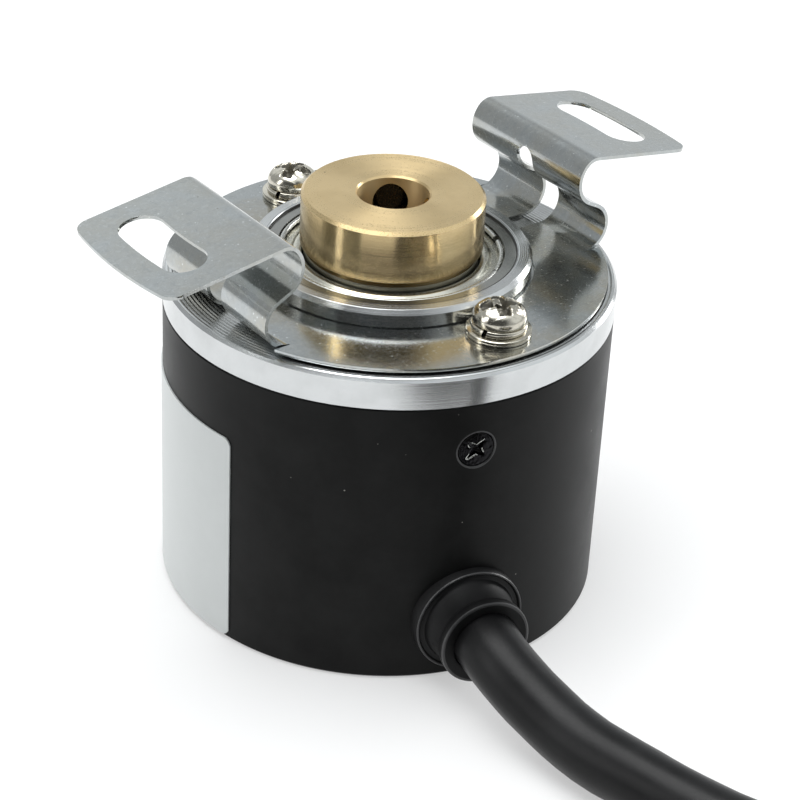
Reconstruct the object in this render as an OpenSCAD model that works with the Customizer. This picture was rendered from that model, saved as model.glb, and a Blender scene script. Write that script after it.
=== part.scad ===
// Hollow-shaft rotary encoder with a spring bracket and a free cable.
// Origin: centre of the housing's rear face. +Z runs along the shaft, towards the hub.
// The bracket's two ears lie along +X and -X.

/* [Housing] */
// Outer radius of the can and of the flange's rim
body_r = 19; // [18.5:0.1:19.5]
// Height of the can, up to the flange's rim
cap_h = 25.9; // [25.9:0.1:26.2]
// Wall and floor thickness of the can
cap_wall = 1.2; // [1:0.1:1.2]
// Thickness of the flange's rim
rim_h = 2.7; // [2.6:0.1:2.8]
// Radius of the raised boss round the front bearing
boss_r = 11.8; // [11.7:0.1:11.8]
// Height of the boss above the rim
boss_h = 2.1; // [2:0.1:2.3]

/* [Shaft] */
// Outer radius of the brass hub
hub_r = 7.65; // [7.5:0.05:7.8]
// Length of the hub
hub_h = 4.5; // [4.4:0.1:5.5]
// Radius of the bore that takes the driving shaft
bore_r = 3; // [2.5:0.25:3.25]
// Height of the blind bore's floor
bore_floor = 15; // [14.8:0.1:20]
// Angle of the first set screw about the shaft
set_angle = 58; // [0:1:90]

/* [Bracket] */
// Thickness of the bracket's sheet
sheet = 0.3; // [0.25:0.05:0.35]
// Width of each arm
arm_w = 14.5; // [13:0.1:15]
// Reach of each ear's tip from the axis
tip_x = 26.6; // [26:0.1:28]
// Downward slope of the ears, in degrees
ear_slope = 9; // [6:1:10]
// Width of the ear slots
slot_w = 3.8; // [3:0.1:4]
// End-to-end length of the ear slots
slot_l = 9.8; // [8:0.2:10]

/* [Cable] */
// Diameter of the cable
cable_d = 5.3; // [5:0.1:5.3]
// Angle about the shaft at which the cable leaves
cable_az = -104; // [-106:1:-102]
// Height of the cable's axis at the can
cable_z = 5.7; // [5.5:0.1:5.8]

/* [Hidden] */
$fn = 64;
slip = 0.01;

rim_top = cap_h + rim_h;
boss_top = rim_top + boss_h;

// Ball bearings, size 6801
brg_w = 5;
brg_ri = 6;
brg_ro = 10.5;
pitch_r = 8.25;
ball_r = 1.19;
ball_count = 12;
land_i = 7.3;
land_o = 9.2;
seat_o = 9.5;
front_brg_z = boss_top - 0.2 - brg_w;
rear_brg_z = front_brg_z - 8;
spigot_z = rear_brg_z;

// Shaft
shoulder_z = front_brg_z + brg_w;
hub_z = shoulder_z + 0.5;
hub_top = hub_z + hub_h;
shaft_end = 12.4;
groove_z = rear_brg_z - 0.8;
set_z = hub_z + 2.3;
set_len = 3;
set_tip = 3.6;

// Code disc and reading head
disc_r = 13.2;
disc_t = 0.5;
head_az = 45;
head_r = 11.3;
lamp_gap = 0.5;
holder_z = shaft_end + 0.8;
holder_x = 9.6;
holder_l = 7.4;
holder_w = 8;
lead_x = 14.2;
holder_screw_x = 15.4;

// Circuit board
board_z = 8.8;
board_t = 1;
board_r = 16.6;
post_r = 15;
post_az = [-10, 110, 230];

// Bracket: its plate sits on a low land round the boss
land_h = 0.3;
land_r = 15;
plate_z = rim_top + land_h;
bend_x = 15.2;
relief = 0.15;
sheet_lap = 1.2;
plate_r = 18.2;
plate_hole_r = 12;
low_r = 2.15;
low_z = plate_z + sheet / 2 + low_r;
lean = 27;
run_l = 1.05;
high_r = 2.28;
crown_r = 1.4;
crown_at = 140;
low_end = [bend_x + low_r * cos(90 - lean), low_z + low_r * sin(90 - lean)];
run_end = [low_end[0] - run_l * cos(lean), low_end[1] + run_l * sin(lean)];
high_c = [run_end[0] + high_r * sin(lean), run_end[1] + high_r * cos(lean)];
crown_c = high_c + (high_r - crown_r) * [cos(crown_at), sin(crown_at)];
ear_start = crown_c + crown_r * [sin(ear_slope), cos(ear_slope)];
ear_l = (tip_x - ear_start[0]) / cos(ear_slope);
tip_r = 40;
slot_x = 22.35;
window_w = 2.1;
window_top = 35.9;
bracket_screw_y = 14.5;
washer_z = plate_z + sheet;

// Side screws
side_az = -104.3;
side_z = 21.8;

// Cable route: points along the axis in the housing, then down to the surface and off to the coil
cable_r = cable_d / 2;
jacket_end = 13;
gland_end = 23;
coil_c = [-18, -96];
coil_r = 31;
coil_lift = 0.5;
coil_top = coil_lift + 9.9;
tie_az = 335;
route = [
    [-5.85, -24.4, 5.3], [-5.75, -27, 4.45], [-5.5, -29.5, 3.7], [-5.2, -32, 3.1], [-4.8, -35, 2.75],
    [-4.1, -38.5, 2.7], [-3.2, -42.7, 2.7], [-1.9, -47.3, 2.7], [0.5, -52.6, 2.7], [5.2, -61.8, 2.75],
    [9.8, -70.7, 2.95], [14.3, -79.5, 3.15]
];
// The cable's free end, on top of the coil: angle about the coil's centre, radius, height
tail_turn = [
    [180, 33.65, 7.8], [170, 33.4, 8.8], [160, 32.6, 10.8], [150, 31.6, 12.2], [139, 31.1, 13],
    [127, 31, 13.35]
];
sleeve_turn = [[127, 31, 13.35], [122, 31, 13.35], [117, 31, 13.35], [112, 31, 13.35]];
sleeve_end = sleeve_turn[3];
lead_count = 6;
// Places of the wires round the jacket's end, from one side to the other
lead_order = [150, 210, 90, 270, 30, 330];

// ---------- helpers ----------

function radial(az, r, z) = [r * cos(az), r * sin(az), z];
function unit(v) = v / norm(v);
function on_coil(p) = [coil_c[0] + p[1] * cos(p[0]), coil_c[1] + p[1] * sin(p[0]), p[2]];

// Direction of a route at its point i
function heading(pts, i) = unit(pts[min(i + 1, len(pts) - 1)] - pts[max(i - 1, 0)]);

// One ring of points round a route's point i
function ring(pts, i, r, sides) =
    let (t = heading(pts, i), s = unit(cross(t, [0, 0, 1])), u = cross(s, t))
    [for (k = [0 : sides - 1]) pts[i] + r * (cos(360 * k / sides) * s + sin(360 * k / sides) * u)];

// A round tube swept along a route
module tube(pts, r, sides) {
    n = len(pts);
    rings = [for (i = [0 : n - 1]) each ring(pts, i, r, sides)];
    walls = [for (i = [0 : n - 2], k = [0 : sides - 1])
        let (a = i * sides + k, b = i * sides + (k + 1) % sides)
        [a, b, b + sides, a + sides]];
    first = [for (k = [0 : sides - 1]) sides - 1 - k];
    last = [for (k = [0 : sides - 1]) (n - 1) * sides + k];
    polyhedron(points = rings, faces = concat([first], walls, [last]), convexity = 6);
}

module drum(z, h, r) {
    translate([0, 0, z]) cylinder(h = h, r = r);
}

module washer(z, h, ri, ro) {
    difference() {
        drum(z, h, ro);
        drum(z - 1, h + 2, ri);
    }
}

// A hole or rod that lies along a radius
module spoke(az, z, r0, r1, r) {
    rotate([0, 0, az]) translate([r0, 0, z]) rotate([0, 90, 0]) cylinder(h = r1 - r0, r = r);
}

module cross_cut(size, width, depth) {
    for (a = [0, 90])
        rotate([0, 0, a]) translate([-size / 2, -width / 2, -depth]) cube([size, width, depth + 1]);
}

module bearing_outer(z) {
    difference() {
        drum(z, brg_w, brg_ro - slip);
        drum(z - 1, brg_w + 2, land_o);
        drum(z - 1, 1.8, seat_o);
        drum(z + brg_w - 0.8, 1.8, seat_o);
        translate([0, 0, z + brg_w / 2])
            rotate_extrude() translate([pitch_r, 0]) circle(r = ball_r + 0.04);
    }
}

module bearing_inner(z) {
    difference() {
        drum(z, brg_w, land_i);
        drum(z - 1, brg_w + 2, brg_ri);
        translate([0, 0, z + brg_w / 2])
            rotate_extrude() translate([pitch_r, 0]) circle(r = ball_r + 0.04);
    }
}

module bearing_balls(z) {
    for (k = [0 : ball_count - 1])
        translate(radial(360 * k / ball_count, pitch_r, z + brg_w / 2)) sphere(r = ball_r);
}

module bearing_cage(z) {
    difference() {
        washer(z + 1.3, 2.4, 7.8, 8.7);
        for (k = [0 : ball_count - 1])
            translate(radial(360 * k / ball_count, pitch_r, z + brg_w / 2)) sphere(r = ball_r + 0.05);
    }
}

module bearing_shields(z) {
    for (s = [z + 0.5, z + brg_w - 0.8]) washer(s, 0.3, land_i + 0.15, seat_o - slip);
}

module bearing_snap_rings(z) {
    for (s = [z + 0.27, z + brg_w - 0.27])
        translate([0, 0, s]) rotate([0, 0, -19])
            rotate_extrude(angle = 320) translate([seat_o - 0.27, 0]) circle(r = 0.22, $fn = 24);
}

// ---------- housing ----------

module housing_cap() {
    edge = 0.3;
    color("#1b1b1c") difference() {
        rotate_extrude() polygon([
            [0, 0], [body_r - edge, 0], [body_r, edge], [body_r, cap_h - 0.12], [body_r - 0.12, cap_h],
            [body_r - cap_wall, cap_h], [body_r - cap_wall, cap_wall], [0, cap_wall]
        ]);
        for (k = [0 : 2]) {
            spoke(side_az + 120 * k, side_z, body_r - 3, body_r + 1, 1.1);
            rotate([0, 0, side_az + 120 * k]) translate([body_r - 0.62, 0, side_z])
                rotate([0, 90, 0]) cylinder(h = 0.8, r1 = 1.1, r2 = 1.9);
        }
        spoke(cable_az, cable_z, body_r - 3, body_r + 1, 3.32);
    }
}

module front_flange() {
    spigot_r = body_r - cap_wall - 0.05;
    color("#c9cccb") difference() {
        rotate_extrude() polygon([
            [brg_ro, spigot_z], [spigot_r, spigot_z], [spigot_r, cap_h], [body_r - 0.1, cap_h],
            [body_r, cap_h + 0.1], [body_r, rim_top - 0.22], [body_r - 0.22, rim_top], [land_r, rim_top],
            [land_r, plate_z], [boss_r, plate_z], [boss_r, boss_top - 0.35], [boss_r - 0.3, boss_top],
            [brg_ro + 0.08, boss_top], [brg_ro, boss_top - 0.08], [brg_ro, front_brg_z],
            [seat_o + 0.1, front_brg_z], [seat_o + 0.1, rear_brg_z + brg_w], [brg_ro, rear_brg_z + brg_w]
        ]);
        for (k = [0 : 2]) spoke(side_az + 120 * k, side_z, 13.6, body_r, 1 + slip);
        for (s = [-1, 1]) translate([0, s * bracket_screw_y, 22.6]) cylinder(h = 8, r = 1.25 + slip);
        for (a = post_az) rotate([0, 0, a]) translate([post_r, 0, spigot_z - 1]) cylinder(h = 4.1, r = 1 + slip);
        rotate([0, 0, head_az]) for (s = [-1, 1])
            translate([holder_screw_x, s * 2.6, spigot_z - 1]) cylinder(h = 3.8, r = 1 + slip);
    }
}

// What rounds one corner of the label: az, z is the corner arc's centre
module label_corner(az, z, side, up) {
    rotate([0, 0, az]) difference() {
        translate([body_r - 1, side > 0 ? 0 : -1.3, up > 0 ? z : z - 1.3]) cube([2, 1.3, 1.3]);
        spoke(0, z, body_r - 2, body_r + 2, 1);
    }
}

module rating_label() {
    start = -262;
    span = 94.8;
    low = 0.4;
    top = 19.85;
    color("#c3c9c8") difference() {
        rotate([0, 0, start]) rotate_extrude(angle = span)
            translate([body_r + 0.005, low]) square([0.12, top - low]);
        for (up = [-1, 1]) for (side = [-1, 1])
            label_corner(side > 0 ? start + span - 2.8 : start + 2.8, up > 0 ? top - 0.93 : low + 0.93, side, up);
    }
}

module cable_gland() {
    color("#1c1c1d") rotate([0, 0, cable_az]) difference() {
        union() {
            difference() {
                spoke(0, cable_z, body_r - 1, body_r + 0.8, 4.7);
                drum(cable_z - 8, 16, body_r + 0.005);
            }
            spoke(0, cable_z, body_r - cap_wall - 0.4, body_r + 0.4, 3.3);
            intersection() {
                spoke(0, cable_z, body_r - cap_wall - 1, body_r, 4.2);
                drum(cable_z - 8, 16, body_r - cap_wall - 0.005);
            }
            translate([body_r + 0.2, 0, cable_z]) rotate([0, 90, 0]) cylinder(h = 3, r1 = 4, r2 = 3.45);
            translate([body_r + 3.1, 0, cable_z]) rotate([0, 90, 0]) cylinder(h = 0.9, r = 3.85);
        }
        spoke(0, cable_z, body_r - 4, gland_end + 2, cable_r + 0.05);
    }
}

module side_screws() {
    color("#26262a") for (k = [0 : 2]) rotate([0, 0, side_az + 120 * k])
        translate([body_r - 0.1, 0, side_z]) rotate([0, 90, 0]) difference() {
            union() {
                translate([0, 0, -0.5]) cylinder(h = 0.5, r1 = 1.05, r2 = 1.58);
                translate([0, 0, -4.6]) cylinder(h = 4.15, r = 1);
            }
            cross_cut(1.7, 0.4, 0.5);
        }
}

// ---------- bracket ----------

// Points along an arc of centre c and radius r
function arc_points(c, r, a0, a1, n) =
    [for (i = [0 : n]) let (a = a0 + (a1 - a0) * i / n) c + r * [cos(a), sin(a)]];

// One side of the bent sheet, half a thickness off its middle: side is 1 above and -1 below
function sheet_side(side) = concat(
    [[bend_x - sheet_lap, plate_z + sheet / 2 + side * sheet / 2]],
    arc_points([bend_x, low_z], low_r - side * sheet / 2, -90, 90 - lean, 16),
    arc_points(high_c, high_r + side * sheet / 2, 270 - lean, crown_at, 14),
    arc_points(crown_c, crown_r + side * sheet / 2, crown_at - 6, 90 - ear_slope, 8),
    [ear_start + sheet_lap * [cos(ear_slope), -sin(ear_slope)]
        + side * sheet / 2 * [sin(ear_slope), cos(ear_slope)]]
);

module arm_profile() {
    upper = sheet_side(1);
    lower = sheet_side(-1);
    n = len(lower);
    polygon(concat(upper, [for (i = [1 : n]) lower[n - i]]));
}

module arm() {
    translate([0, arm_w / 2, 0]) rotate([90, 0, 0]) linear_extrude(arm_w) arm_profile();
}

// The slot, curved with the ear's tip
module slot_outline(along) {
    end_r = slot_w / 2;
    c = [ear_l - tip_r, 0];
    mid_r = along - c[0];
    reach = asin((slot_l / 2 - end_r) / mid_r);
    polygon(concat(
        arc_points(c, mid_r + end_r, -reach, reach, 12),
        arc_points(c + mid_r * [cos(reach), sin(reach)], end_r, reach + 10, reach + 170, 16),
        arc_points(c, mid_r - end_r, reach, -reach, 12),
        arc_points(c + mid_r * [cos(reach), -sin(reach)], end_r, 190 - reach, 350 - reach, 16)
    ));
}

module ear_outline() {
    corner = 1.4;
    half = arm_w / 2;
    c = [ear_l - tip_r, 0];
    turn = asin((half - corner) / (tip_r - corner));
    corner_c = (tip_r - corner) * [cos(turn), sin(turn)];
    polygon(concat(
        [[sheet_lap / 2, -half]],
        arc_points(c + [corner_c[0], -corner_c[1]], corner, -90, -turn, 8),
        arc_points(c, tip_r, -turn + 1, turn - 1, 12),
        arc_points(c + corner_c, corner, turn, 90, 8),
        [[sheet_lap / 2, half]]
    ));
}

module ear() {
    slot_along = (slot_x - ear_start[0]) / cos(ear_slope);
    translate([ear_start[0], 0, ear_start[1]]) rotate([0, ear_slope, 0])
        translate([0, 0, -sheet / 2]) linear_extrude(sheet) difference() {
            ear_outline();
            slot_outline(slot_along);
        }
}

module arm_window() {
    half = window_w / 2;
    translate([plate_hole_r - 1, -half, rim_top - 1]) cube([8, window_w, low_z + low_r + 0.6 - rim_top + 1]);
    translate([12, -half, low_z]) cube([4, window_w, window_top - half - low_z]);
    translate([12, 0, window_top - half]) rotate([0, 90, 0]) cylinder(h = 3.4, r = half);
}

module mounting_bracket() {
    color("#b9bcbb") difference() {
        union() {
            translate([0, 0, plate_z]) linear_extrude(sheet) difference() {
                circle(r = plate_r, $fn = 128);
                for (s = [0, 180]) rotate([0, 0, s])
                    translate([bend_x, -arm_w / 2 - relief]) square([8, arm_w + 2 * relief]);
                circle(r = plate_hole_r, $fn = 96);
                for (s = [-1, 1]) translate([0, s * bracket_screw_y]) circle(r = 1.4, $fn = 48);
            }
            for (s = [0, 180]) rotate([0, 0, s]) {
                arm();
                ear();
            }
        }
        for (s = [0, 180]) rotate([0, 0, s]) arm_window();
    }
}

module flat_washers() {
    color("#bdbdb8") for (s = [-1, 1]) translate([0, s * bracket_screw_y, 0])
        washer(washer_z, 0.5, 1.35, 2.65);
}

module lock_washers() {
    color("#b5b5ae") for (s = [-1, 1]) translate([0, s * bracket_screw_y, 0]) difference() {
        washer(washer_z + 0.5, 0.6, 1.35, 2.3);
        rotate([0, 0, 200]) translate([1, -0.15, washer_z]) cube([2, 0.3, 2]);
    }
}

module bracket_screws() {
    head_z = washer_z + 1.1;
    color("#b8b6ac") for (s = [-1, 1]) translate([0, s * bracket_screw_y, head_z]) difference() {
        union() {
            rotate_extrude() polygon([
                [0, 0], [2.15, 0], [2.2, 0.3], [2.1, 0.9], [1.7, 1.35], [1, 1.6], [0, 1.7]
            ]);
            translate([0, 0, -7]) cylinder(h = 7.1, r = 1.25);
        }
        translate([0, 0, 1.7]) cross_cut(2.6, 0.55, 1.1);
    }
}

// ---------- rotor ----------

module hollow_shaft() {
    color("#b39a5e") difference() {
        rotate_extrude() polygon([
            [0, shaft_end], [brg_ri - slip, shaft_end], [brg_ri - slip, groove_z - 0.05], [5.5, groove_z - 0.05],
            [5.5, rear_brg_z], [brg_ri - slip, rear_brg_z], [brg_ri - slip, shoulder_z], [6.9, shoulder_z],
            [6.9, hub_z], [hub_r - 0.06, hub_z], [hub_r, hub_z + 0.06], [hub_r, hub_top - 0.26],
            [hub_r - 0.26, hub_top], [bore_r + 0.15, hub_top], [bore_r, hub_top - 0.15], [bore_r, bore_floor],
            [0, bore_floor]
        ]);
        for (a = [0, -90]) spoke(set_angle + a, set_z, bore_r - 1, hub_r + 1, 1.5);
        drum(shaft_end - 1, 2.8, 1 + slip);
    }
}

module set_screw(az) {
    color("#17171a") rotate([0, 0, az]) translate([set_tip, 0, set_z]) rotate([0, 90, 0]) difference() {
        union() {
            cylinder(h = 0.35, r1 = 1.1, r2 = 1.45);
            translate([0, 0, 0.35]) cylinder(h = set_len - 0.35, r = 1.45);
        }
        translate([0, 0, set_len - 1.2]) cylinder(h = 2, r = 0.87, $fn = 6);
    }
}

module set_screw_a() {
    set_screw(set_angle);
}

module set_screw_b() {
    set_screw(set_angle - 90);
}

module front_outer_ring() {
    color("#a7a9a8") bearing_outer(front_brg_z);
}

module front_inner_ring() {
    color("#a7a9a8") bearing_inner(front_brg_z);
}

module front_balls() {
    color("#d5d7d8") bearing_balls(front_brg_z);
}

module front_cage() {
    color("#8a8468") bearing_cage(front_brg_z);
}

module front_shields() {
    color("#9a9a94") bearing_shields(front_brg_z);
}

module front_snap_rings() {
    color("#b9bab6") bearing_snap_rings(front_brg_z);
}

module rear_outer_ring() {
    color("#a7a9a8") bearing_outer(rear_brg_z);
}

module rear_inner_ring() {
    color("#a7a9a8") bearing_inner(rear_brg_z);
}

module rear_balls() {
    color("#d5d7d8") bearing_balls(rear_brg_z);
}

module rear_cage() {
    color("#8a8468") bearing_cage(rear_brg_z);
}

module rear_shields() {
    color("#9a9a94") bearing_shields(rear_brg_z);
}

module rear_snap_rings() {
    color("#b9bab6") bearing_snap_rings(rear_brg_z);
}

module spacer_sleeve() {
    color("#b5b7b8") washer(rear_brg_z + brg_w, front_brg_z - rear_brg_z - brg_w, brg_ri, 7.2);
}

module shaft_circlip() {
    color("#3c3c3e") difference() {
        union() {
            drum(groove_z, 0.78, 7);
            for (s = [-1, 1]) rotate([0, 0, s * 16]) translate([7.1, 0, groove_z]) cylinder(h = 0.78, r = 1.1);
        }
        drum(groove_z - 1, 3, 5.5 + slip);
        translate([4, -1.1, groove_z - 1]) cube([6, 2.2, 3]);
        for (s = [-1, 1]) rotate([0, 0, s * 16]) translate([7.1, 0, groove_z - 1]) cylinder(h = 3, r = 0.5);
    }
}

module disc_hub() {
    color("#a8a9ab") difference() {
        union() {
            drum(shaft_end, 3.6, 8);
            drum(shaft_end, 1, 9);
        }
        drum(shaft_end - 1, 6, brg_ri);
    }
}

module code_disc() {
    color("#5d6b70") washer(shaft_end - disc_t, disc_t, 4, disc_r);
}

module disc_clamp() {
    color("#a8a9ab") difference() {
        union() {
            drum(shaft_end - disc_t - 0.6, 0.6, 6.5);
            drum(shaft_end - disc_t - 0.1, disc_t, 3.98);
        }
        drum(0, 20, 1.1);
    }
}

module disc_screw() {
    head_top = shaft_end - disc_t - 0.6;
    color("#8f8f90") difference() {
        union() {
            drum(head_top - 1, 1, 1.9);
            drum(head_top - 0.1, 2.7, 1);
        }
        translate([0, 0, head_top - 1]) mirror([0, 0, 1]) cross_cut(2, 0.45, 0.6);
    }
}

// ---------- reading head and board ----------

module led_holder() {
    color("#202124") rotate([0, 0, head_az]) difference() {
        translate([holder_x, -holder_w / 2, holder_z]) cube([holder_l, holder_w, spigot_z - holder_z]);
        translate([head_r, 0, holder_z - 1]) cylinder(h = 4.4, r = 1.5 + 0.02);
        for (s = [-1, 1]) {
            translate([holder_screw_x, s * 2.6, holder_z - 1]) cylinder(h = 8, r = 1.1);
            translate([lead_x, s * 0.64, holder_z - 1]) cylinder(h = 3, r = 0.27);
        }
    }
}

module led_emitter() {
    color("#d9dde0") rotate([0, 0, head_az]) translate([head_r, 0, shaft_end + lamp_gap + 1.5]) {
        cylinder(h = 2.1, r = 1.5);
        intersection() {
            sphere(r = 1.5);
            translate([-2, -2, -2]) cube([4, 4, 2.01]);
        }
    }
}

module led_leads() {
    color("#c8c8c4") rotate([0, 0, head_az]) for (s = [-1, 1])
        translate([lead_x, s * 0.64, board_z - 0.5]) cylinder(h = 5.6, r = 0.25);
}

module holder_screws() {
    color("#8f8f90") rotate([0, 0, head_az]) for (s = [-1, 1])
        translate([holder_screw_x, s * 2.6, holder_z]) mirror([0, 0, 1]) difference() {
            union() {
                cylinder(h = 1.1, r = 1.45);
                translate([0, 0, -6.8]) cylinder(h = 6.9, r = 1);
            }
            translate([0, 0, 1.1]) cross_cut(1.7, 0.4, 0.6);
        }
}

module sensor_array() {
    color("#2b2d33") rotate([0, 0, head_az])
        translate([head_r - 2.5, -2, board_z + board_t]) cube([5, 4, 1.2]);
}

module mask_plate() {
    color("#8fa3a8") rotate([0, 0, head_az])
        translate([head_r - 2.2, -1.8, board_z + board_t + 1.2]) cube([4.4, 3.6, 0.3]);
}

module circuit_board() {
    color("#1f5a38") difference() {
        drum(board_z, board_t, board_r);
        for (a = post_az) rotate([0, 0, a]) translate([post_r, 0, 0]) cylinder(h = 20, r = 1.1);
        rotate([0, 0, head_az]) for (s = [-1, 1])
            translate([lead_x, s * 0.64, 0]) cylinder(h = 20, r = 0.27);
    }
}

module board_standoffs() {
    color("#c2a866") for (a = post_az) rotate([0, 0, a]) translate([post_r, 0, board_z + board_t]) {
        h = spigot_z - board_z - board_t;
        difference() {
            cylinder(h = h, r = 1.5, $fn = 6);
            translate([0, 0, -1]) cylinder(h = 5, r = 1 + slip);
        }
        translate([0, 0, h]) cylinder(h = 2.8, r = 1);
    }
}

module board_screws() {
    color("#8f8f90") for (a = post_az) rotate([0, 0, a]) translate([post_r, 0, board_z])
        mirror([0, 0, 1]) difference() {
            union() {
                cylinder(h = 1.2, r = 1.8);
                translate([0, 0, -4.6]) cylinder(h = 4.7, r = 1);
            }
            translate([0, 0, 1.2]) cross_cut(2, 0.45, 0.6);
        }
}

// A chip on the board's underside, in the cable's own direction, with its two rows of legs
module chip(x, y, l, w, legs) {
    translate([x - l / 2, y - w / 2, board_z - 1.5]) cube([l, w, 1.3]);
    pitch = w / legs;
    for (s = [-1, 1]) for (k = [0 : legs - 1])
        translate([x + s * (l / 2 + 0.4) - 0.5, y - w / 2 + (k + 0.5) * pitch - 0.2, board_z - 0.7])
            cube([1, 0.4, 0.7]);
}

module driver_chip() {
    color("#1d1e20") rotate([0, 0, cable_az]) chip(-7, 0, 4, 10, 8);
}

module comparator_chip() {
    color("#1d1e20") rotate([0, 0, cable_az]) chip(6, 8, 4, 5, 4);
}

module capacitors() {
    color("#b08d5b") rotate([0, 0, cable_az])
        for (p = [[4.5, -7], [8, -7], [-2, 9.5], [-12.4, -3], [-12.4, 3]])
            translate([p[0] - 1, p[1] - 0.65, board_z - 1]) cube([2, 1.3, 1]);
}

module wire_connector() {
    color("#e4e2da") rotate([0, 0, cable_az])
        translate([-2, -4.8, board_z - 3.6]) cube([4, 9.6, 3.6]);
}

module inner_wires() {
    color("#b43a30") rotate([0, 0, cable_az]) for (k = [0 : lead_count - 1]) {
        a = lead_order[k];
        from = [1.5 * cos(a), cable_z + 1.5 * sin(a)];
        to = [(k - 2.5) * 1.5, board_z - 2 - 0.4 * (k % 2)];
        tube([for (f = [0, 0.15, 0.4, 0.65, 0.85, 1])
            let (e = f * f * (3 - 2 * f))
            [jacket_end - f * (jacket_end - 2), from[0] + e * (to[0] - from[0]), from[1] + e * (to[1] - from[1])]],
            0.45, 8);
    }
}

module cable_clip() {
    color("#a8a9ab") rotate([0, 0, cable_az]) difference() {
        spoke(0, cable_z, 14.6, 16.2, 3);
        spoke(0, cable_z, 14, 17, cable_r + 0.03);
    }
}

// ---------- free cable ----------

module cable() {
    straight = [for (r = [jacket_end, 16, 19, gland_end]) radial(cable_az, r, cable_z)];
    color("#1c1d1e") tube(concat(straight, route), cable_r, 12);
}

module cable_coil() {
    outer = coil_r + 3 * cable_r;
    inner = coil_r - 3 * cable_r;
    color("#1c1d1e") translate([coil_c[0], coil_c[1], 0]) rotate_extrude($fn = 128) polygon([
        [inner + 1, coil_lift], [outer - 1, coil_lift], [outer, coil_lift + 1.4],
        [outer, coil_lift + 4], [outer - cable_r, coil_top - 1], [outer - cable_r - 1, coil_top],
        [inner + cable_r + 1, coil_top], [inner + cable_r, coil_top - 1], [inner, coil_lift + 4],
        [inner, coil_lift + 1.4]
    ]);
}

module cable_tail() {
    color("#1c1d1e") tube([for (p = tail_turn) on_coil(p)], cable_r, 12);
}

module coil_tie() {
    outer = coil_r + 3 * cable_r;
    inner = coil_r - 3 * cable_r;
    gap = 0.1;
    wall = 0.35;
    color("#2a2b2d") translate([coil_c[0], coil_c[1], 0]) rotate([0, 0, tie_az]) difference() {
        translate([inner - gap - wall, -1.5, 0]) cube([outer - inner + 2 * (gap + wall), 3, coil_top + gap + wall]);
        translate([inner - gap, -2, coil_lift - gap])
            cube([outer - inner + 2 * gap, 4, coil_top - coil_lift + 2 * gap]);
    }
}

module end_sleeve() {
    color("#141416") tube([for (p = sleeve_turn) on_coil(p)], cable_r + 0.25, 12);
}

module lead_wires() {
    wire_r = 0.5;
    turn = 62;
    color("#b8453a") for (k = [0 : lead_count - 1]) {
        a = lead_order[k];
        from = [1.5 * cos(a), 1.5 * sin(a)];
        to = [(k - (lead_count - 1) / 2) * 1.6, coil_top + wire_r + 0.05 - sleeve_end[2]];
        tube([for (f = [0, 0.12, 0.28, 0.45, 0.63, 0.82, 1])
            let (e = f * f * (3 - 2 * f))
            on_coil(sleeve_end + [-turn * f, from[0] + e * (to[0] - from[0]),
                from[1] + e * (to[1] - from[1])])],
            wire_r, 8);
    }
}

housing_cap();
front_flange();
hollow_shaft();
set_screw_a();
set_screw_b();
front_outer_ring();
front_inner_ring();
front_balls();
front_cage();
front_shields();
front_snap_rings();
rear_outer_ring();
rear_inner_ring();
rear_balls();
rear_cage();
rear_shields();
rear_snap_rings();
spacer_sleeve();
shaft_circlip();
disc_hub();
code_disc();
disc_clamp();
disc_screw();
led_holder();
led_emitter();
led_leads();
holder_screws();
mask_plate();
sensor_array();
circuit_board();
board_standoffs();
board_screws();
driver_chip();
comparator_chip();
capacitors();
wire_connector();
inner_wires();
cable_clip();
mounting_bracket();
bracket_screws();
lock_washers();
flat_washers();
side_screws();
cable_gland();
rating_label();
cable();
cable_coil();
cable_tail();
coil_tie();
end_sleeve();
lead_wires();
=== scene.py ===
import math

import bpy
import bmesh
from mathutils import Matrix, Vector, noise
from mathutils.geometry import delaunay_2d_cdt


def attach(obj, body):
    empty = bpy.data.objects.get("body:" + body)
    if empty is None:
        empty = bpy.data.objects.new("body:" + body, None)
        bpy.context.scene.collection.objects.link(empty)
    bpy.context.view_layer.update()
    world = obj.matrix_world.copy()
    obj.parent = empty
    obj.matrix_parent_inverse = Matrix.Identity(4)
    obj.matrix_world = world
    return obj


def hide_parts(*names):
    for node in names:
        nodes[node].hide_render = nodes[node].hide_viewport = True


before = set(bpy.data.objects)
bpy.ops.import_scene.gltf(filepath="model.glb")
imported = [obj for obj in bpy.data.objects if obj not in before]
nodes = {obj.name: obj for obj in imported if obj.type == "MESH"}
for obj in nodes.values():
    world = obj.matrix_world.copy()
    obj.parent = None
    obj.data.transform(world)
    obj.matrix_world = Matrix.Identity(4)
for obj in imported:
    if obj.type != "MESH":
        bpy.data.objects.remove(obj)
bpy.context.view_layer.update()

# Sizes of the CAD part, in millimetres.
MM = 0.001
BODY_R = 19
RIM_TOP, LAND_TOP, BOSS_TOP = 28.6, 28.9, 30.7
SHEET = 0.3
SCREW_Y = 14.5
CABLE_AZ, CABLE_Z, CABLE_R = math.radians(-104), 5.7, 2.65
SIDE_AZ, SIDE_Z = -104.3, 21.8


# ---------- camera ----------

CAMERA_TURN, CAMERA_ELEVATION, CAMERA_ROLL = math.radians(-38), math.radians(30.773), math.radians(-2.98)
CAMERA_PLACE = Vector((-108.478, -141.113, 121.631))
SENSOR_WIDTH, LENS = 36, 107.83


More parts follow.
